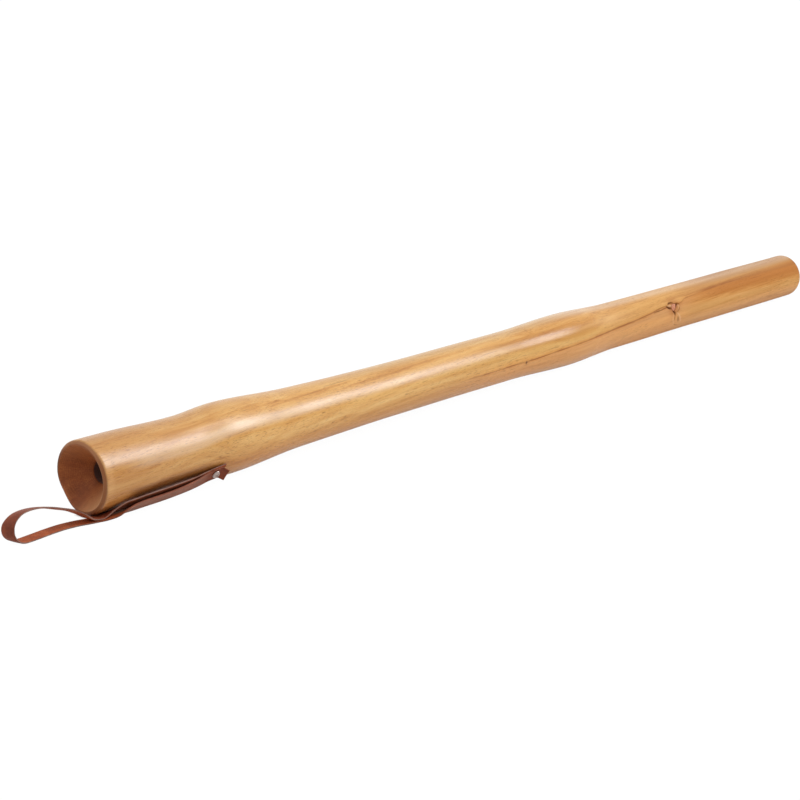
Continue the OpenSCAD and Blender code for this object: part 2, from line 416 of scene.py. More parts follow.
def grain_place(g):
    """Object coordinates, plain and following the wood's slow twist with a slight wander."""
    p = g.place()
    twist = {"Vector": p, "Angle": g.mul(g.xyz(p)[0], GRAIN_TWIST)}
    turned = g.node("VectorRotate", twist, rotation_type="X_AXIS").outputs[0]
    wander = g.noise(g.scaled(turned, 5, 14, 14), detail=1.0, output="Color")
    centred = g.node("VectorMath", {0: wander, 1: (0.5, 0.5, 0.5)}, operation="SUBTRACT").outputs[0]
    shift = g.scaled(centred, 0.0, 0.007, 0.007)
    return p, g.node("VectorMath", {0: turned, 1: shift}, operation="ADD").outputs[0]


def skin_places(g):
    """Where a point of the outside lies, and the noises that its marks share."""
    p, grain = grain_place(g)
    x, y, z = g.xyz_mm(p)
    return SimpleNamespace(
        grain=grain, x=x, r=g.hypot(y, z),
        phi=g.math("DEGREES", g.math("ARCTAN2", z, g.mul(y, -1.0))),
        broad=g.noise(g.scaled(grain, 1.7, 40, 40), detail=3.0, roughness=0.55),
        streak=g.noise(g.scaled(grain, 7, 230, 230), detail=5.0, roughness=0.66),
        fine=g.noise(g.scaled(grain, 26, 1100, 1100), detail=3.0, roughness=0.65),
        broken=g.step(g.noise(g.scaled(grain, 34, 40, 40)), 0.3, 0.62),
    )


def wood_tone(g, s):
    """Broad tones, streaks and fibres, with growth rings that show on the mouthpiece."""
    _, y, z = g.xyz_mm(s.grain)
    pith = g.hypot(g.add(y, -PITH_Y), g.add(z, -PITH_Z))
    rings = g.math("SINE", g.add(g.mul(pith, 2.4), g.around(s.broad, 9.0), g.around(s.streak, 3.0)))
    rings = g.mul(rings, g.between(g.step(s.x, 1288, 1297), 0.04, 0.24))
    tone = g.add(0.5, g.around(s.broad, 0.5), g.around(s.streak, 0.74), g.around(s.fine, 0.5), rings)
    return g.ramp(tone, [
        (0.2, srgb(248, 204, 134)), (0.4, srgb(238, 186, 112)),
        (0.58, srgb(226, 167, 92)), (0.8, srgb(190, 124, 60)),
    ])


def along_tints(g, s, colour):
    """Tones that change along the tube, much of them painted light and shade: those of the near side, and
    plainer ones for the back.
    """
    x, phi = s.x, s.phi
    to_mouth, to_bell = g.step(x, 560, 1080), g.step(x, 270, 10)
    # painted shade towards the mouthpiece, at a weaker share on the plainer back
    plain = g.tint(to_bell, g.tint(g.mul(to_mouth, 0.6), colour, MOUTH_SHADE), BELL_TINT)
    high, below = g.step(phi, 48, 78), g.step(phi, 14, -24)
    # far_shade: the same painted shade, held weaker on the top and the underside
    far_shade = g.mul(to_mouth, g.add(0.95, g.mul(high, -0.6), g.mul(below, -0.3)))
    colour = g.tint(to_bell, g.tint(far_shade, colour, MOUTH_SHADE), BELL_TINT)
    # painted shade on the underside, strongest towards the bell
    low = g.add(g.mul(g.step(x, 700, 350), 0.6), g.mul(g.step(x, 860, 660), 0.4))
    colour = g.tint(g.mul(g.step(phi, 0, -34), low), colour, (0.9, 0.76, 0.66))
    # painted shade along the top edge
    colour = g.tint(g.step(phi, 58, 84), colour, (0.9, 0.89, 0.9))
    # painted bounce light from the floor on the far half's underside
    pale = g.mul(g.step(x, 740, 900), g.step(phi, -2, -40), 0.4)
    return g.mix(pale, colour, srgb(228, 188, 152)), plain


def grain_line(g, s, colour):
    """The slanting grain line: yellower wood above it, pinker below, thin and dark itself."""
    points = [(x / TUBE_L, (phi + 90) / 180) for x, phi in [(0, GRAIN_LINE[0][1]), *GRAIN_LINE]]
    line_phi = g.between(g.curve(g.mul(s.x, 1 / TUBE_L), points), -90.0, 90.0)
    above = g.mul(g.add(s.phi, g.mul(line_phi, -1.0)), s.r, PER_DEGREE)
    above = g.add(above, g.around(s.streak, 1.6))
    zone = g.window(s.x, 430, 640, 985, 1075)
    under = g.mul(zone, g.window(above, -62, -34, -3.5, 2.5))
    over = g.mul(zone, g.window(above, -1.0, 5.0, 16, 36))
    colour = g.mix(g.mul(under, 0.55), colour, srgb(214, 156, 106))
    colour = g.mix(g.mul(over, 0.3), colour, srgb(222, 176, 108))
    aside = g.math("ABSOLUTE", above)
    reach = g.mul(g.between(s.broken, 0.35, 1.0), g.window(s.x, 545, 640, 1000, 1180))
    colour = g.mix(g.mul(g.step(aside, 4.2, 0.6), reach, 0.42), colour, srgb(196, 120, 48))
    line = g.mul(g.step(aside, 1.4, 0.2), reach)
    return g.mix(g.mul(line, 0.7), colour, srgb(136, 64, 10)), line


def pin_knot(g, s, colour):
    """A small dark knot on that line, with a faint tail below it."""
    along = g.add(s.x, -PIN_KNOT_X)
    across = g.mul(g.add(s.phi, -PIN_KNOT_PHI), s.r, PER_DEGREE)
    away = g.hypot(along, across)
    tail = g.step(g.math("ABSOLUTE", g.add(along, -0.4)), 0.8, 0.2)
    tail = g.mul(tail, g.window(across, -5.5, -1.0, -0.5, 0.5))
    spot = g.math("MAXIMUM", g.step(away, 2.4, 0.8), g.mul(tail, 0.5))
    colour = g.mix(g.mul(g.step(away, 7, 1), 0.35), colour, srgb(182, 118, 62))
    return g.mix(g.mul(spot, 0.85), colour, srgb(96, 52, 24))


def brown_stripe(g, s, colour):
    """The browner stripe from the knot to the mouthpiece, with its dark upper edge."""
    half = g.math("MULTIPLY_ADD", s.x, 0.038, -24.5)
    off = g.add(s.phi, -32.5, g.around(s.streak, 26.0), g.around(s.fine, 14.0))
    to_band = g.math("DIVIDE", off, half)
    off_band = g.math("ABSOLUTE", to_band)
    band = g.mul(g.step(off_band, 1.5, 0.3), g.step(s.x, 996, 1120))
    colour = g.mix(g.mul(band, 0.85), colour, srgb(188, 113, 34))
    edge = g.step(g.math("ABSOLUTE", g.add(to_band, -0.85)), 0.3, 0.05)
    edge = g.mul(edge, g.between(s.broken, 0.3, 1.0), g.window(s.x, 990, 1020, 1110, 1240))
    colour = g.mix(g.mul(edge, 0.4), colour, srgb(152, 82, 20))
    beyond = g.mul(g.step(s.x, 985, 1060), g.step(off_band, 1.0, 1.5))
    return g.mix(g.mul(beyond, 0.25), colour, srgb(204, 150, 92))


def painted_edge_light(g, s, colour):
    """Painted light and shade on the shoulder, the crown, the top and the underside."""
    x, phi = s.x, s.phi
    # painted shade on the upper shoulder of the far half
    shoulder = g.mul(g.step(x, 980, 1080), g.window(phi, 38, 48, 62, 76))
    colour = g.tint(shoulder, colour, (0.84, 0.82, 0.86))
    # a painted light crown along the top
    crown = g.mul(g.step(x, 700, 880), g.step(phi, 60, 80))
    crown = g.mul(crown, g.between(g.step(x, 980, 1160), 0.4, 0.14))
    colour = g.mix(crown, colour, srgb(244, 208, 170))
    # painted sky reflection on the top edge, then painted light on the underside and the lower middle
    for along, around, factors in [
        (g.step(x, 1020, 1130), (54, 68), (0.87, 0.91, 1.16)),
        (g.step(x, 330, 440), (62, 78), (0.99, 1.08, 1.3)),
        (g.step(x, 1000, 1080), (0, -20), (1.13, 1.11, 1.13)),
        (g.window(x, 540, 660, 990, 1060), (12, -2), (1.14, 1.11, 1.04)),
    ]:
        colour = g.tint(g.mul(along, g.step(phi, *around)), colour, factors)
    return colour


def hair_and_pores(g, s, colour):
    """Long dark hairlines, and open pores as short dashes along the grain."""
    hair = g.noise(g.scaled(s.grain, 9, 620, 620), detail=1.0)
    colour = g.mix(g.mul(g.step(hair, 0.69, 0.78), 0.42), colour, srgb(138, 86, 44))
    crowd = g.step(g.noise(g.scaled(s.grain, 7, 60, 60)), 0.34, 0.62)
    dash = g.noise(g.scaled(s.grain, 105, 1150, 1150), detail=1.0)
    prick = g.noise(g.scaled(s.grain, 240, 2100, 2100), detail=1.0)
    pores = g.math("MAXIMUM", g.step(dash, 0.59, 0.69), g.mul(g.step(prick, 0.6, 0.7), 0.8))
    pores = g.mul(pores, g.between(crowd, 0.25, 1.0))
    shown = g.between(g.step(s.x, 420, 760), 0.56, 0.36)
    return g.mix(g.mul(pores, shown), colour, srgb(140, 72, 12)), pores


def painted_sheen_and_shade(g, s, colour):
    """Painted shade in bands along the near side, above its middle, and a painted pale sheen along the
    highlight.
    """
    x, phi = s.x, s.phi
    # painted shade that tones down the highlight stripe
    for along, around, factors in [
        (g.step(x, 860, 760), (18, 30, 38, 50), (0.9, 0.91, 0.96)),
        (g.window(x, 630, 720, 790, 870), (14, 28, 46, 58), (0.88, 0.76, 0.58)),
        (g.window(x, 590, 670, 740, 800), (33, 41, 49, 56), (0.88, 0.82, 0.7)),
    ]:
        colour = g.tint(g.mul(along, g.window(phi, *around)), colour, factors)
    # a painted sheen that widens the highlight downwards
    lowered = g.add(phi, g.mul(g.step(x, 200, 120), 10.0))
    pale = g.mul(g.window(lowered, 17, 27, 33, 43), g.window(x, 20, 70, 500, 600))
    pale = g.mul(pale, g.between(g.step(x, 300, 400), 0.44, 0.24))
    return g.mix(pale, colour, srgb(242, 212, 178))


def painted_strap_shadow_and_brow(g, s, colour):
    """Painted shadow of the strap on the wood beside it and under the bell, and a painted highlight on
    the brow behind the bell's rim.
    """
    x, phi = s.x, s.phi
    # painted shadow of the strap, on the wood above it and where it tucks under the bell
    beside = g.mul(g.window(phi, -80, -64, -24, -14), g.window(x, 26, 52, 150, 178))
    under_bell_shadow = g.mul(g.window(phi, -88, -74, -47, -35), g.step(x, 62, 34))
    colour = g.tint(g.math("MAXIMUM", beside, under_bell_shadow), colour, (0.54, 0.48, 0.48))
    # painted highlight on the brow behind the bell's rim
    brow = g.mul(g.step(x, 15, 8), g.window(phi, -24, -4, 40, 70))
    return g.mix(g.mul(brow, 0.25), colour, srgb(244, 192, 132))


def ends_and_knot(g, s, colour):
    """Darker end grain on the rounded ends, held weaker on the top of the bell's rim as a painted
    highlight, and the painted marks round the knot.
    """
    # the end grain is the wood's own; its weaker share on the rim's top is a painted highlight
    rim = g.mul(g.step(s.x, 3.5, 0.9), g.between(g.step(s.phi, 25, 70), 1.0, 0.45))
    end = g.math("MAXIMUM", rim, g.mul(g.step(s.x, 1291, 1298), 0.8))
    colour = g.mix(g.mul(end, 0.85), colour, srgb(128, 72, 36))
    paint = g.node("Attribute", {}, attribute_name=KNOT_PAINT).outputs
    crack, pale, warm = g.node("SeparateColor", {0: paint["Color"]}).outputs
    colour = g.mix(g.mul(warm, 0.6), colour, srgb(176, 98, 40))
    colour = g.mix(g.mul(paint["Alpha"], 0.6), colour, srgb(138, 88, 50))
    colour = g.mix(g.mul(pale, 0.75), colour, srgb(240, 196, 150))
    return g.mix(crack, colour, srgb(72, 24, 0)), crack


def wood_outside():
    g = Graph.material("varnished_wood")
    s = skin_places(g)
    colour, plain = along_tints(g, s, wood_tone(g, s))
    colour, line = grain_line(g, s, colour)
    for marks in (pin_knot, brown_stripe, painted_edge_light):
        colour = marks(g, s, colour)
    # the back, which the photograph does not show, keeps the plain wood
    colour = g.mix(g.step(g.math("ABSOLUTE", s.phi), 108, 150), colour, plain)
    colour, pores = hair_and_pores(g, s, colour)
    for marks in (painted_sheen_and_shade, painted_strap_shadow_and_brow):
        colour = marks(g, s, colour)
    colour, crack = ends_and_knot(g, s, colour)

    # varnish: polished on the second swell, worn and duller towards the mouthpiece
    height = g.add(g.mul(s.fine, 0.35), g.mul(pores, -0.4), g.mul(line, -0.5))
    worn, polished = g.step(s.x, 800, 950), g.window(s.x, 600, 740, 820, 890)
    rough = g.add(0.23, g.mul(s.fine, 0.1), g.mul(worn, 0.45), g.mul(polished, -0.06), g.mul(crack, 0.4))
    dull = g.mul(g.step(s.x, 560, 720), g.step(s.phi, 66, 54))
    return g.finish(
        Base_Color=colour, Roughness=rough, Normal=g.bump(height, 0.05, 0.5), IOR=1.56,
        Specular_IOR_Level=g.between(dull, 0.5, 0.34),
    )


def wood_bell():
    g = Graph.material("turned_bell_wood")
    p, grain = grain_place(g)
    _, y, z = g.xyz_mm(p)
    r = g.hypot(y, z)
    turn = g.math("ARCTAN2", z, g.mul(y, -1.0))
    patch = g.noise(g.scaled(p, 60, 60, 60), detail=3.0, roughness=0.6)
    speck = g.noise(g.scaled(grain, 260, 900, 900), roughness=0.6)
    rays = g.node("CombineXYZ", {0: g.mul(r, 0.05), 1: g.mul(turn, 14.0), 2: 0.0}).outputs[0]
    rays = g.noise(rays)
    tool = g.math("SINE", g.add(g.mul(r, 5.2), g.around(patch, 4.0)))
    tone = g.add(0.5, g.around(patch, 0.6), g.around(speck, 0.5), g.around(rays, 0.35), g.mul(tool, 0.05))
    colour = g.ramp(tone, [
        (0.2, srgb(186, 112, 60)), (0.5, srgb(156, 86, 45)), (0.8, srgb(112, 58, 30)),
    ])
    painted_low_light = g.step(g.add(g.mul(y, -0.024), g.mul(z, -0.015)), 0.1, 1.0)
    for share, stain in [
        # painted light on the cone's lower side
        (g.mul(painted_low_light, 0.7), srgb(212, 156, 108)),
        # painted light on the cone's upper wall
        (g.mul(g.step(z, 6, 30), 0.3), srgb(196, 126, 72)),
        # the inner edge with a painted highlight on its near side, the rim's own darker end grain all
        # round, a painted highlight on the rim's top and painted shade on its far side
        (g.mul(g.step(r, 34.4, 35.4), g.step(y, -18, -30), 0.5), srgb(196, 146, 100)),
        (g.mul(g.step(r, 35.8, 36.6), 0.8), srgb(138, 80, 44)),
        (g.mul(g.step(r, 36, 38), g.step(z, 18, 34), 0.5), srgb(190, 136, 96)),
        (g.mul(g.step(r, 35.4, 37), g.step(y, 12, 30), g.step(z, 30, 12), 0.6), srgb(96, 58, 36)),
    ]:
        colour = g.mix(share, colour, stain)
    height = g.add(g.mul(tool, 0.25), g.mul(speck, 0.5))
    return g.finish(
        Base_Color=colour, Roughness=g.add(0.5, g.mul(speck, 0.12)), Normal=g.bump(height, 0.08, 0.5),
        Coat_Weight=0.08, Coat_Roughness=0.35, IOR=1.3,
    )


def wood_bore():
    g = Graph.material("bored_raw_wood")
    p = g.place()
    streak = g.noise(g.scaled(p, 9, 300, 300), detail=4.0, roughness=0.65)
    auger = g.math("SINE", g.mul(g.xyz(p)[0], 2100.0))
    tone = g.add(0.5, g.around(streak, 0.9), g.mul(auger, 0.04))
    colour = g.ramp(tone, [(0.2, srgb(136, 102, 92)), (0.8, srgb(86, 62, 56))])
    height = g.add(g.mul(streak, 0.8), g.mul(auger, 0.1))
    return g.finish(Base_Color=colour, Roughness=0.8, Normal=g.bump(height, 0.15, 0.7), IOR=1.45)


def wood_knot():
    g = Graph.material("knot_wood")
    p = g.place()
    a = math.radians(KNOT_PHI)
    centre = (KNOT_X * MM, -KNOT_R * math.cos(a) * MM, KNOT_R * math.sin(a) * MM)
    local = g.node("VectorMath", {0: p, 1: centre}, operation="SUBTRACT").outputs[0]
    oval = g.scaled(local, 620, 1000, 1000)
    far = g.node("VectorMath", {0: oval}, operation="LENGTH").outputs["Value"]
    wobble = g.noise(g.scaled(p, 260, 260, 260), detail=3.0, roughness=0.6)
    rings = g.math("SINE", g.add(g.mul(far, 5.0), g.around(wobble, 7.0)))
    fleck = g.noise(g.scaled(p, 1500, 1500, 1500))
    tone = g.add(0.5, g.mul(rings, 0.12), g.around(wobble, 0.6), g.around(fleck, 0.4))
    colour = g.ramp(tone, [
        (0.2, srgb(236, 168, 130)), (0.5, srgb(216, 142, 106)), (0.85, srgb(152, 88, 58)),
    ])
    height = g.add(g.mul(rings, 0.3), g.mul(fleck, 0.6))
    return g.finish(
        Base_Color=colour, Roughness=g.add(0.6, g.mul(fleck, 0.15)), Normal=g.bump(height, 0.1, 0.6),
        Coat_Weight=0.1, Coat_Roughness=0.3, IOR=1.4,
    )


def rounded(points):
    """A closed outline with its corners cut away twice."""
    p = np.asarray(points, float)
    for _ in range(2):
        q = np.roll(p, -1, 0)
        p = np.stack([0.75 * p + 0.25 * q, 0.25 * p + 0.75 * q], 1).reshape(-1, 2)
    return p


def on_skin(points):
    """(x, phi) as flat millimetres near the knot."""
    p = np.asarray(points, float)
    return np.stack([p[:, 0], np.radians(p[:, 1]) * KNOT_R], 1)


KNOT_OUTLINE = rounded(on_skin([
    (998.6, 30.4), (1002.4, 30.2), (1005.7, 28.7), (1004.9, 23.8), (1003.3, 17.6),
    (1000.7, 13.9), (998.5, 11.1), (996.5, 15), (995.7, 19.9), (996.5, 25.1),
]))
KNOT_EYE = rounded(on_skin([
    (1007.4, -3.7), (1010.2, -9.9), (1011.7, -17.7), (1011.3, -24.4), (1007.4, -16), (1006.5, -8.5),
]))
# lines round the knot: points (x, phi), width, strength
CRACKS = [
    ([(985.9, 28.4), (988.6, 23.6), (992.0, 20.6), (995.2, 18.7)], 1.4, 1.0),
    ([(990.2, 32.2), (993.2, 34.7), (997.3, 34.6), (1001.5, 32.6)], 1.1, 0.9),
    ([(1002.8, 18.2), (1004.8, 23), (1007.0, 26.6), (1009.8, 28.6)], 1.7, 1.0),
    ([(1009.2, 28.4), (1012.8, 26.1), (1012.7, 22.4)], 0.5, 0.5),
    ([(1011.7, 18), (1011.9, 14.3), (1009.8, 10.7), (1006, 6.5)], 0.55, 0.6),
    ([(996.4, 15.4), (998.4, 10.4), (1001.1, 5.2), (1001.4, -1.0)], 1.25, 1.0),
    ([(1001.1, 0.6), (1000.8, -8.1), (1001.5, -15)], 0.8, 0.45),
    ([(957, 24.3), (965.7, 26.2), (974.5, 28.2), (983.2, 29.5), (987.4, 29.8)], 0.5, 0.5),
    ([(956, 20.1), (964.5, 21.3), (974.3, 22.5), (986.8, 24.5)], 0.5, 0.6),
    ([(1003, -27), (1008, -32), (1013, -34.5)], 0.5, 0.5),
]
PALE_LINES = [
    ([(1005.3, 5.4), (1009.5, -1.1), (1012.9, -9.2), (1015.5, -19.2), (1017.2, -27.8)], 1.0, 0.9),
    ([(997.5, 3.2), (997, -5), (997.6, -13.9), (1002.6, -27.5)], 0.9, 0.6),
    ([(1007, 21.5), (1009.5, 24.3), (1011, 21.5), (1009.6, 15)], 0.9, 0.55),
    ([(987.8, 27.6), (992.6, 27.4), (997, 26.2)], 1.1, 1.0),
]
KNOT_RECESS, CRACK_DEPTH, PALE_RISE, KNOT_SWELL = 2.0, 1.3, 0.1, 0.07


def near_segments(q, line):
    """Least distance of points q to a line, and how far along it that lies, 0 to 1."""
    best, where = np.full(len(q), 1e9), np.zeros(len(q))
    for k in range(len(line) - 1):
        a, d = line[k], line[k + 1] - line[k]
        t = np.clip((q - a) @ d / (d @ d), 0, 1)
        away = np.linalg.norm(q - a - t[:, None] * d, axis=1)
        closer = away < best
        best[closer] = away[closer]
        where[closer] = ((k + t) / (len(line) - 1))[closer]
    return best, where


def outline_depth(q, outline):
    """Distance of points q to a closed outline, negative inside it."""
    away, _ = near_segments(q, np.vstack([outline, outline[:1]]))
    inside = np.zeros(len(q), bool)
    for a, b in zip(outline, np.roll(outline, -1, 0)):
        cross = (a[1] > q[:, 1]) != (b[1] > q[:, 1])
        at = a[0] + (q[:, 1] - a[1]) * (b[0] - a[0]) / (b[1] - a[1] + 1e-12)
        inside ^= cross & (q[:, 0] < at)
    return np.where(inside, -away, away)


def line_mark(q, lines):
    """Each line's strength at flat points q, which fades to its sides and its ends."""
    for points, width, strength in lines:
        away, where = near_segments(q, on_skin(points))
        taper = np.sin(math.pi * np.clip(where * 0.9 + 0.05, 0, 1)) ** 0.4
        yield np.exp(-((away / (width * (0.45 + 0.55 * taper))) ** 2)) * strength * taper


def knot_relief(q):
    """Height in mm and paint (crack, pale, warm, eye) of the skin at flat points q."""
    edge = outline_depth(q, KNOT_OUTLINE)
    height = -KNOT_RECESS * fade(edge, 0.3, 0.0) + KNOT_SWELL * np.exp(-((edge - 4) / 4) ** 2)
    crack = 0.6 * fade(edge, 1.0, 0.1)
    for mark in line_mark(q, CRACKS):
        height -= CRACK_DEPTH * mark
        crack = np.maximum(crack, mark)
    pale = np.zeros(len(q))
    for mark in line_mark(q, PALE_LINES):
        height += PALE_RISE * mark
        pale = np.maximum(pale, mark)
    crack = np.clip(crack, 0, 1)
    eye = fade(outline_depth(q, KNOT_EYE), 0.6, -0.8)
    warm = np.exp(-((np.maximum(edge, 0) / 8) ** 2))
    return height, np.stack([crack, pale * (1 - crack), warm, eye], 1)


def skin_wave(x, phi):
    """Slight hand-worked unevenness of the outside in mm, none under the strap."""
    wave = 0.10 * np.sin(x / 41 + 1.3) * np.sin(2 * phi + 0.4) + 0.09 * np.sin(x / 67 + phi + 2.1)
    wave = wave + 0.06 * np.sin(x / 23 - 3 * phi + 0.7)
    strap_side = np.exp(-((np.degrees(phi) + 48) / 38) ** 2) * (1 - fade(x, 185, 240))
    return wave * (1 - np.clip(1.6 * strap_side, 0, 1)) * fade(x, 2, 30) * fade(x, 1296, 1270)


BELL_FLAT, BELL_FLAT_PHI, BELL_FLAT_WIDE, BELL_FLAT_R = 3.2, -142, 24, 26


def bell_flat(x, phi):
    """How far the hand-cut bell falls short of round on its far lower side, in mm."""
    off = (np.degrees(phi) - BELL_FLAT_PHI + 180) % 360 - 180
    return BELL_FLAT * np.exp(-((off / BELL_FLAT_WIDE) ** 2)) * fade(x, 80, 8)


def arc(cx, cr, radius, a0, a1, n):
    """Points (x, r) on an arc round (cx, cr), between angles from straight outwards."""
    a = np.radians(np.linspace(a0, a1, n))
    return np.stack([cx + radius * np.sin(a), cr + radius * np.cos(a)], 1)


OUTSIDE, BELL, BORE = range(3)
# the mesh is fine round the knot and coarse elsewhere, in x and in phi
KNOT_FROM, KNOT_TO, KNOT_STEP, SKIN_STEP = 952, 1028, 0.42, 6.2
FINE_FROM, FINE_TO, FINE_STEP, COARSE_COUNT = -40, 46, 0.82, 92
KNOT_REACH = 60


def tube_profile():
    """Points (x, r) round the wall's section, the surface of each, and the rows of the skin."""
    rim_r = BELL_R - RIM_W
    cone = np.stack([np.linspace(BELL_DEPTH, 0.45, 22), np.linspace(BORE_R, rim_r - 0.4, 22)], 1)
    inner_edge = [[0.12, rim_r - 0.08], [0.02, rim_r + 0.25], [0, rim_r + 0.6]]
    rim_in = arc(RIM_ROUND, BELL_R - RIM_ROUND, RIM_ROUND, -90, -40, 6)
    rim = arc(RIM_ROUND, BELL_R - RIM_ROUND, RIM_ROUND, -30, 0, 4)
    xs = np.arange(RIM_ROUND + 1.5, GROUND_END - 2, SKIN_STEP)
    xs = xs[(xs < KNOT_FROM - 1) | (xs > KNOT_TO + 1)]
    xs = np.sort(np.concatenate([xs, np.arange(KNOT_FROM, KNOT_TO, KNOT_STEP)]))
    skin = np.stack([xs, tube_r(xs)], 1)
    lip = arc(TUBE_L - LIP_ROUND, MOUTH_R - LIP_ROUND, LIP_ROUND, 0, 90, 13)
    lip_in = arc(TUBE_L - LIP_IN, LIP_R + LIP_IN, -LIP_IN, -90, 0, 7)
    ease_x = np.linspace(TUBE_L - LIP_IN - 1, TUBE_L - LIP_EASE, 8)
    ease = np.stack([ease_x, np.linspace(LIP_R - 0.1, BORE_R, 8)], 1)
    hole = np.linspace(TUBE_L - LIP_EASE, BELL_DEPTH + 0.3, 40)[1:]
    hole = np.stack([hole, np.full(len(hole), BORE_R)], 1)
    to_skin = [(cone, BELL), (inner_edge, BELL), (rim_in, BELL), (rim, OUTSIDE)]
    parts = to_skin + [(skin, OUTSIDE), (lip, OUTSIDE), (lip_in, OUTSIDE), (ease, BORE), (hole, BORE)]
    start = sum(len(p) for p, _ in to_skin)
    kind = np.concatenate([np.full(len(p), k) for p, k in parts])
    return np.vstack([p for p, _ in parts]), kind, slice(start, start + len(skin))


def build_tube(materials):
    profile, kind, skin_rows = tube_profile()
    dense = np.arange(FINE_FROM, FINE_TO, FINE_STEP)
    coarse = np.linspace(dense[-1], dense[0] + 360, COARSE_COUNT)[1:-1]
    phi = np.radians(np.concatenate([dense, coarse]))
    n, m = len(profile), len(phi)
    px, radius = np.repeat(profile[:, :1], m, 1), np.repeat(profile[:, 1:], m, 1)
    angle = np.repeat(phi[None], n, 0)
    radius[skin_rows] += skin_wave(px[skin_rows], angle[skin_rows])
    radius -= bell_flat(px, angle) * fade(radius, BELL_FLAT_R, BELL_R - RIM_W)
    turn = (np.degrees(angle) + 180) % 360 - 180
    here = (px > KNOT_FROM - 2) & (px < KNOT_TO + 2) & (np.abs(turn) < KNOT_REACH) & (radius > LIP_R)
    height, marks = knot_relief(on_skin(np.stack([px[here], turn[here]], 1)))
    radius[here] += height
    paint = np.zeros((n, m, 4), np.float32)
    paint[here] = marks
    verts = np.stack([px, -radius * np.cos(angle), radius * np.sin(angle)], 2).reshape(-1, 3)
    face_kind = np.repeat(np.minimum(kind, np.roll(kind, -1)), m)
    obj = make_piece("didgeridoo_tube", verts, grid_faces(n, m, True), materials, face_kind)
    layer = obj.data.attributes.new(KNOT_PAINT, "FLOAT_COLOR", "POINT")
    layer.data.foreach_set("color", paint.ravel())
    return obj


KNOT_FIT, KNOT_CORE, FLOOR_GAP = 0.985, 0.06, 0.06


def build_knot(material):
    """An inlay that lies in the recess of the tube, with a rough, slightly sunk face."""
    middle = KNOT_OUTLINE.mean(0)
    shrunk = middle + (KNOT_OUTLINE - middle) * KNOT_FIT
    rings, heights = [], []
    for t in np.linspace(KNOT_CORE, 1, 16):
        rings.append(middle + (shrunk - middle) * t)
        x, s = rings[-1].T
        rough = 0.07 * np.sin(x * 1.9 + 0.6 * s) + 0.06 * np.sin(s * 2.3 - x * 0.7 + 1)
        heights.append(-0.1 + rough - 0.3 * fade(t, 0.8, 1.0) + 0.12 * (1 - t))
    floor = -KNOT_RECESS + FLOOR_GAP
    for size, drop in ((1, -1.0), (1, floor), (KNOT_CORE, floor)):
        rings.append(middle + (shrunk - middle) * size)
        heights.append(np.full(len(shrunk), drop))
    flat, height = np.vstack(rings), np.concatenate(heights)
    angle = flat[:, 1] / KNOT_R
    r = tube_r(flat[:, 0]) + height
    verts = np.stack([flat[:, 0], -r * np.cos(angle), r * np.sin(angle)], 1)
    return make_piece("branch_knot_plug", verts, capped_faces(len(rings), len(shrunk)), [material])


# ---- leather


def leather(name, colours, roughness, grain, depth, coat=0.0, painted_light=0.0, painted_light_to=None):
    """Leather in a light, a middle and a dark colour; beside the wood a share of painted light mixes in
    another colour.
    """
    g = Graph.material(name)
    p = g.place()
    patch = g.noise(g.scaled(p, 70, 70, 70), detail=3.0, roughness=0.6)
    cell = g.cells(g.scaled(p, grain, grain, grain), "F1")
    edge = g.cells(g.scaled(p, grain * 0.6, grain * 0.6, grain * 0.6), "DISTANCE_TO_EDGE")
    fibre = g.noise(g.scaled(p, 900, 1500, 1500), detail=3.0, roughness=0.65)
    tone = g.add(0.5, g.around(patch, 0.9), g.around(fibre, 0.45), g.mul(cell, 0.12))
    colour = g.ramp(tone, [(at, srgb(*c)) for at, c in zip((0.2, 0.52, 0.85), colours)])
    if painted_light:
        # painted light beside the wood: its colour is shade on the flesh side and a reflection on the
        # grain side
        beside = g.window(g.xyz_mm(p)[0], 12, 35, 135, 160)
        colour = g.mix(g.mul(beside, painted_light), colour, srgb(*painted_light_to))
    height = g.add(g.mul(cell, 0.6), g.mul(g.step(edge, 0.0, 0.12), 0.5), g.mul(fibre, 0.5))
    return g.finish(
        Base_Color=colour, Roughness=g.add(roughness, g.mul(fibre, 0.16)),
        Normal=g.bump(height, depth, 0.6), Coat_Weight=coat, Coat_Roughness=0.35, IOR=1.33,
    )


STRAP_STEPS = 20
EASE_REACH, EASE_WIDE = 36, 13.0
LOOP_GROW, LOOP_LIFT = 1.6, 0.035
EDGE_BEND, SIDE_POINTS, EDGE_POINTS = 0.55, 17, 8
FLESH, GRAIN, CUT, SHADED_CUT = range(4)
PUNCH_POINTS, PUNCH_IN, PUNCH_OUT = 24, 4, 6


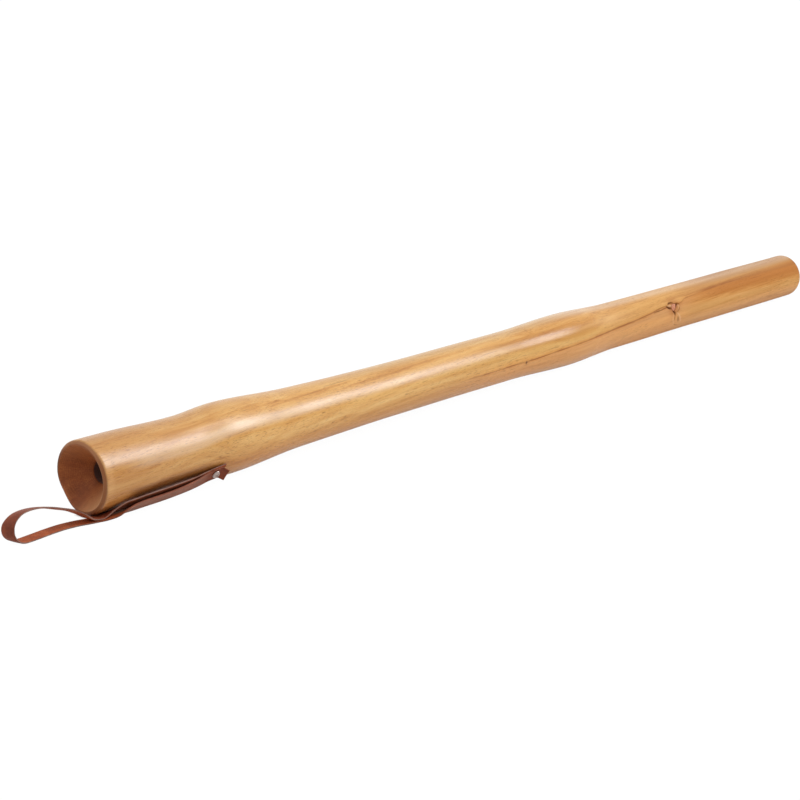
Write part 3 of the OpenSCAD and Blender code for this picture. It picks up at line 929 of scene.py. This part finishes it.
def strap_path():
    """The leather's middle line, its directions across and out of its face, and which points
    are in the second ply. The fold is eased, and the plies keep out of the wood."""
    route = strap_route()
    marks = np.arange(len(route))
    u = np.linspace(0, len(route) - 1, (len(route) - 1) * STRAP_STEPS + 1)
    p = np.stack([smooth(marks, route[:, k], u) for k in range(3)], 1)
    spread = np.exp(-((np.arange(-EASE_REACH, EASE_REACH + 1) / EASE_WIDE) ** 2))
    eased = np.stack([np.convolve(p[:, k], spread / spread.sum(), "same") for k in range(3)], 1)
    slack = fade(-p[:, 0], 30, 62)[:, None]
    p = p + slack * (eased - p) - slack * LOOP_GROW * ALONG
    p[:, 2] += LOOP_LIFT * slack[:, 0] * (p[:, 2] - ground(p[:, 0]) - STRAP_T / 2)
    lean, turn = (np.radians(smooth(marks, route[:, k], u)) for k in (3, 4))
    outward = np.stack([0 * lean, -np.cos(lean), -np.sin(lean)], 1)
    upward = np.stack([0 * lean, -np.sin(lean), np.cos(lean)], 1)
    beyond = np.maximum(0, np.abs((p * upward).sum(1)) - STRAP_W / 2)
    second = u > (len(route) - 1) / 2
    wood = tube_r(np.clip(p[:, 0], 0, TUBE_L)) + SEAT_GAP + second * PLY
    wood = np.where(p[:, 0] < RIM_ROUND, 0, wood)
    need = np.sqrt(np.maximum(0, wood**2 - beyond**2)) + STRAP_T / 2
    p = p + np.maximum(0, need - (p * outward).sum(1))[:, None] * outward
    across = np.stack([np.sin(turn), -np.sin(lean) * np.cos(turn), np.cos(lean)], 1)
    run = np.gradient(p, axis=0)
    run /= np.linalg.norm(run, axis=1)[:, None]
    face = np.cross(across, run)
    face /= np.linalg.norm(face, axis=1)[:, None]
    return p, across, face, second


def build_strap(materials):
    """One long strip of leather, folded on itself, swept along the route of the CAD solid."""
    p, across, face, second = strap_path()

    # section: flesh side, rounded edge, grain side, rounded edge
    half, thick = STRAP_W / 2, STRAP_T / 2
    side = np.linspace(-half + EDGE_BEND, half - EDGE_BEND, SIDE_POINTS)
    bend = np.radians(np.linspace(0, 180, EDGE_POINTS))[1:-1]
    edge_a, edge_b = half - EDGE_BEND + EDGE_BEND * np.sin(bend), thick * np.cos(bend)
    side_b = np.full(SIDE_POINTS, thick)
    a = np.concatenate([side, edge_a, side[::-1], -edge_a[::-1]])
    b = np.concatenate([side_b, edge_b, -side_b, edge_b[::-1]])
    kind = np.array([FLESH] * 18 + [CUT] * 3 + [GRAIN] * 20 + [CUT] * 3 + [FLESH] * 2)
    n, m = len(p), len(a)

    # slack leather: edges wander a little, the free loop cups, both ends curl away beyond the screw
    free = fade(-p[:, 0], -30, 20)
    length = np.concatenate([[0], np.cumsum(np.linalg.norm(np.diff(p, axis=0), axis=1))])
    wander = 0.14 * np.sin(length / 9.1) + 0.1 * np.sin(length / 3.7 + 1)
    wide = 1 + wander[:, None] / half * np.sign(a)[None] * 0.6
    cup = (0.05 + 0.4 * free * (0.6 + 0.4 * np.sin(length / 21)))[:, None] * (a[None] / half) ** 2
    toward = np.where(second, -1.0, 1.0)
    past = fade(p[:, 0], SCREW_X + 5.5, SCREW_X + STRAP_END)
    curl = (past * np.where(second, 0.5, 0.35))[:, None] * (np.abs(a[None]) / half) ** 1.5
    height = b[None] + cup * 0.6 + curl * toward[:, None]
    verts = p[:, None] + (a[None] * wide)[..., None] * across[:, None] + height[..., None] * face[:, None]

    # the head draws the outer ply in, so the leather stands up round it
    rel = verts - SCREW_FOOT
    away = np.hypot(rel[..., 0], rel @ up(SCREW_ANGLE))
    ridge = 0.3 * np.exp(-(((away - 7.8) / 1.7) ** 2)) * second[:, None]
    verts = verts + ridge[..., None] * out(SCREW_ANGLE)

    # the outer ply's edges take painted shade, a darker cut-edge colour, where they lie beside the tube
    kinds = np.tile(kind, (n - 1, 1))
    kinds[second[:-1] & (p[:-1, 0] > 0)] += np.where(kind == CUT, SHADED_CUT - CUT, 0)
    face_kind = np.concatenate([kinds.ravel(), [CUT, SHADED_CUT]])
    obj = make_piece("leather_strap", verts.reshape(-1, 3), capped_faces(n, m), materials, face_kind)
    hole_r = SHANK_D / 2 + HOLE_GAP
    hole = screw_rings([(hole_r, SEAT_R - PUNCH_IN), (hole_r, HEAD_SEAT + PUNCH_OUT)], PUNCH_POINTS)
    cut_away(obj, make_piece("punch", hole, capped_faces(2, PUNCH_POINTS)))
    return obj


# ---- screw

SCREW_POINTS, HEAD_FOOT, TIP_L, TIP_R = 60, 0.75, 5, 0.6
RECESS_ANGLES = (20, 110)
# each blade of the recess: height over the top of the head, half length, half width
RECESS_ENDS = ((-1.9, 1.3, 0.42), (0.6, 2.6, 0.72))
CORNERS = ((-1, -1), (1, -1), (1, 1), (-1, 1))
SHARP_ANGLE = 35


def steel():
    g = Graph.material("screw_steel")
    p = g.place()
    brushed = g.noise(g.scaled(p, 2600, 2600, 500), detail=3.0, roughness=0.6)
    stain = g.noise(g.scaled(p, 420, 420, 420), detail=3.0)
    tone = g.add(0.5, g.around(brushed, 0.5), g.around(stain, 0.6))
    colour = g.ramp(tone, [
        (0.2, srgb(232, 216, 209)), (0.55, srgb(210, 192, 185)), (0.85, srgb(124, 110, 104)),
    ])
    return g.finish(
        Base_Color=colour, Metallic=1.0, Roughness=g.add(0.22, g.mul(stain, 0.18)),
        Normal=g.bump(brushed, 0.03, 0.4),
    )


def build_screw(material):
    """A domed head on a pointed shank, with a cross recess of two tapered blades."""
    head_r, shank_r, seat = HEAD_D / 2, SHANK_D / 2, HEAD_SEAT
    dome_h = HEAD_H - HEAD_FOOT
    dome_a = np.radians(np.linspace(4, 90, 18))
    dome = [(head_r * math.sin(t), seat + HEAD_FOOT + dome_h * math.cos(t)) for t in dome_a]
    foot = [(head_r, seat + 0.45), (head_r - 0.12, seat + 0.1), (head_r - 0.35, seat)]
    shank = [(shank_r + 0.05, seat), (shank_r, seat - 0.3)]
    tip = [(shank_r, seat - SHANK_L + TIP_L), (TIP_R, seat - SHANK_L)]
    profile = dome + foot + shank + tip
    rings = screw_rings(profile, SCREW_POINTS)
    obj = make_piece("strap_screw_head", rings, capped_faces(len(profile), SCREW_POINTS), [material])
    for a in RECESS_ANGLES:
        c, s = math.cos(math.radians(a)), math.sin(math.radians(a))
        blade = [
            at_screw(i * long * c - j * wide * s, i * long * s + j * wide * c, seat + HEAD_H + z)
            for z, long, wide in RECESS_ENDS for i, j in CORNERS
        ]
        cut_away(obj, make_piece("recess", blade, capped_faces(2, len(CORNERS))))
    shade_smooth(obj.data)
    obj.data.set_sharp_from_angle(angle=math.radians(SHARP_ANGLE))
    return obj


# ---- the object

tube = build_tube([wood_outside(), wood_bell(), wood_bore()])
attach(tube, "instrument")
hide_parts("tube")

knot = build_knot(wood_knot())
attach(knot, "instrument")
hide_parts("branch_knot")

strap = build_strap([
    # flesh side: painted shade where it lies beside the wood
    leather(
        "strap_flesh_side", [(206, 116, 68), (180, 93, 52), (134, 64, 34)],
        roughness=0.62, grain=1500, depth=0.12, painted_light=0.6, painted_light_to=(74, 34, 18),
    ),
    # grain side: a painted floor reflection where it lies beside the wood
    leather(
        "strap_grain_side", [(168, 90, 58), (142, 70, 44), (102, 46, 28)],
        roughness=0.46, grain=1100, depth=0.1, painted_light=0.3, painted_light_to=(204, 152, 124),
    ),
    leather(
        "strap_cut_edge", [(178, 146, 130), (146, 112, 100), (104, 72, 60)],
        roughness=0.5, grain=1800, depth=0.1, coat=0.1,
    ),
    leather(
        "strap_shaded_cut_edge", [(176, 106, 76), (142, 80, 58), (100, 52, 36)],
        roughness=0.55, grain=1800, depth=0.1,
    ),
])
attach(strap, "hanging_strap")
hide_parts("strap")

screw = build_screw(steel())
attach(screw, "instrument")
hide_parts("strap_screw")

# ---- floor, light and camera

FLOOR_HALF = 40.0
FLOOR_GLOW, FLOOR_VEIL, FLOOR_MIRRORED = 0.04, 0.06, 0.35
SKY_HIGH, SKY_LOW = 1.0, 0.08
# name, middle, target, two sizes in metres, brightness
LAMPS = [
    ("strip_light", (8.9, -6.95, 7.2), (0.4, 0, 0), 3.1, 4.7, 11.8),
    ("upper_light", (7.3, -3.9, 9.2), (0.1, 0, 0), 2.2, 2.4, 7.0),
    ("left_light", (-5.0, 3.0, 3.6), (0, 0, 0), 3.0, 3.0, 1.2),
]
SENSOR, LENS = 36.0, 112.5
CAMERA_AT = (-1.613395, -1.946374, 0.795378)
CAMERA_RIGHT = Vector((0.67834221, -0.73474611, 0.0))
CAMERA_UP = Vector((0.20023426, 0.18486297, 0.96214964))


def build_floor():
    """White paper to the light. To the camera it is nearly clear, with a faint veil that keeps the real
    shade close to the object and a darker brown patch of painted contact shade under the bell, and it is
    open from below."""
    g = Graph.material("floor_white")
    path = g.node("LightPath", {}).outputs
    seen = g.math("MAXIMUM", path["Is Camera Ray"], path["Is Transmission Ray"])
    seen = g.math("MAXIMUM", seen, g.mul(path["Is Glossy Ray"], FLOOR_MIRRORED))
    place = g.place()
    x, y, _ = g.xyz_mm(place)
    paper = g.noise(g.scaled(place, 3, 3, 3))
    shade = g.ramp(paper, [(0.3, (0.76, 0.76, 0.76, 1)), (0.7, (0.78, 0.78, 0.78, 1))])
    plain = g.node("BsdfDiffuse", {"Color": shade}).outputs[0]
    clear = g.node("BsdfTransparent", {}).outputs[0]
    glow = g.node("Emission", {"Color": (1, 1, 1, 1), "Strength": FLOOR_GLOW}).outputs[0]
    # the darker brown paper of the painted contact shade
    shaded = g.node("BsdfDiffuse", {"Color": (0.34, 0.22, 0.15, 1)}).outputs[0]

    def mixed(share, a, b):
        return g.node("MixShader", {0: share, 1: a, 2: b}).outputs[0]

    near = g.mul(g.window(y, -105, -55, 95, 150), g.window(x, -230, -130, 1420, 1560))
    thin = mixed(g.mul(near, FLOOR_VEIL), clear, plain)
    lit = g.node("AddShader", {0: thin, 1: glow}).outputs[0]
    # painted contact shade under the bell and the strap
    painted_contact_shade = g.mul(g.window(x, -3, 5, 80, 110), g.window(y, -24, -18, 8, 15))
    both = mixed(seen, plain, mixed(painted_contact_shade, lit, shaded))
    both = mixed(g.node("NewGeometry", {}).outputs["Backfacing"], both, clear)
    g.put(g.tree.nodes["Material Output"].inputs["Surface"], both)

    h = FLOOR_HALF
    mesh = bpy.data.meshes.new("floor")
    mesh.from_pydata([(-h, -h, 0), (h, -h, 0), (h, h, 0), (-h, h, 0)], [], [(0, 1, 2, 3)])
    mesh.materials.append(g.owner)
    floor = link(bpy.data.objects.new("floor", mesh))
    floor.location = (0, 0, ground(0) * MM)
    floor.rotation_euler = (0, -math.atan(GROUND_RISE), 0)


def build_world():
    """White to the camera. As light it is strong overhead and weak low down, and in reflections
    it is dimmer overhead and low in front."""
    world = bpy.data.worlds.new("studio")
    bpy.context.scene.world = world
    g = Graph(world)
    _, y, z = g.xyz(g.node("TexCoord", {}).outputs["Generated"])
    high, front = g.step(z, 0.1, 0.8), g.step(y, 0.3, -0.5)
    path = g.node("LightPath", {}).outputs
    white = g.math("MAXIMUM", path["Is Camera Ray"], path["Is Transmission Ray"])
    low_front = g.mul(front, g.math("SUBTRACT", 1.0, high), 0.75)
    mirrored = g.math("SUBTRACT", 1.0, g.math("MAXIMUM", low_front, g.mul(high, 0.45)))
    strength = g.between(high, SKY_LOW, SKY_HIGH)
    for share, level in ((path["Is Glossy Ray"], mirrored), (white, 1.0)):
        strength = g.node("Mix", {0: share, 2: strength, 3: level}, data_type="FLOAT").outputs[0]
    back = g.tree.nodes["Background"]
    g.put(back.inputs["Color"], (1, 1, 1, 1))
    g.put(back.inputs["Strength"], strength)


def aim(obj, at, side, top):
    """Puts an object in the scene with its X along side and its Y along top."""
    axes = Matrix((side, top, side.cross(top))).transposed()
    link(obj).matrix_world = Matrix.Translation(at) @ axes.to_4x4()


def soft_light(name, middle, target, size_x, size_y, level):
    """A rectangle of light whose face has that brightness, where 1 is white."""
    lamp = bpy.data.lights.new(name, "AREA")
    lamp.shape = "RECTANGLE"
    lamp.size, lamp.size_y = size_x, size_y
    lamp.energy = level * math.pi * size_x * size_y
    back = (Vector(middle) - Vector(target)).normalized()
    side = Vector((1, 0, 0))
    side = (side - side.dot(back) * back).normalized()
    aim(bpy.data.objects.new(name, lamp), middle, side, back.cross(side))


def build_camera():
    camera = bpy.data.objects.new("camera", bpy.data.cameras.new("camera"))
    camera.data.sensor_width = SENSOR
    camera.data.lens = LENS
    aim(camera, CAMERA_AT, CAMERA_RIGHT, CAMERA_UP)
    bpy.context.scene.camera = camera


build_floor()
build_world()
for lamp in LAMPS:
    soft_light(*lamp)
build_camera()
bpy.context.scene.view_settings.view_transform = "Standard"
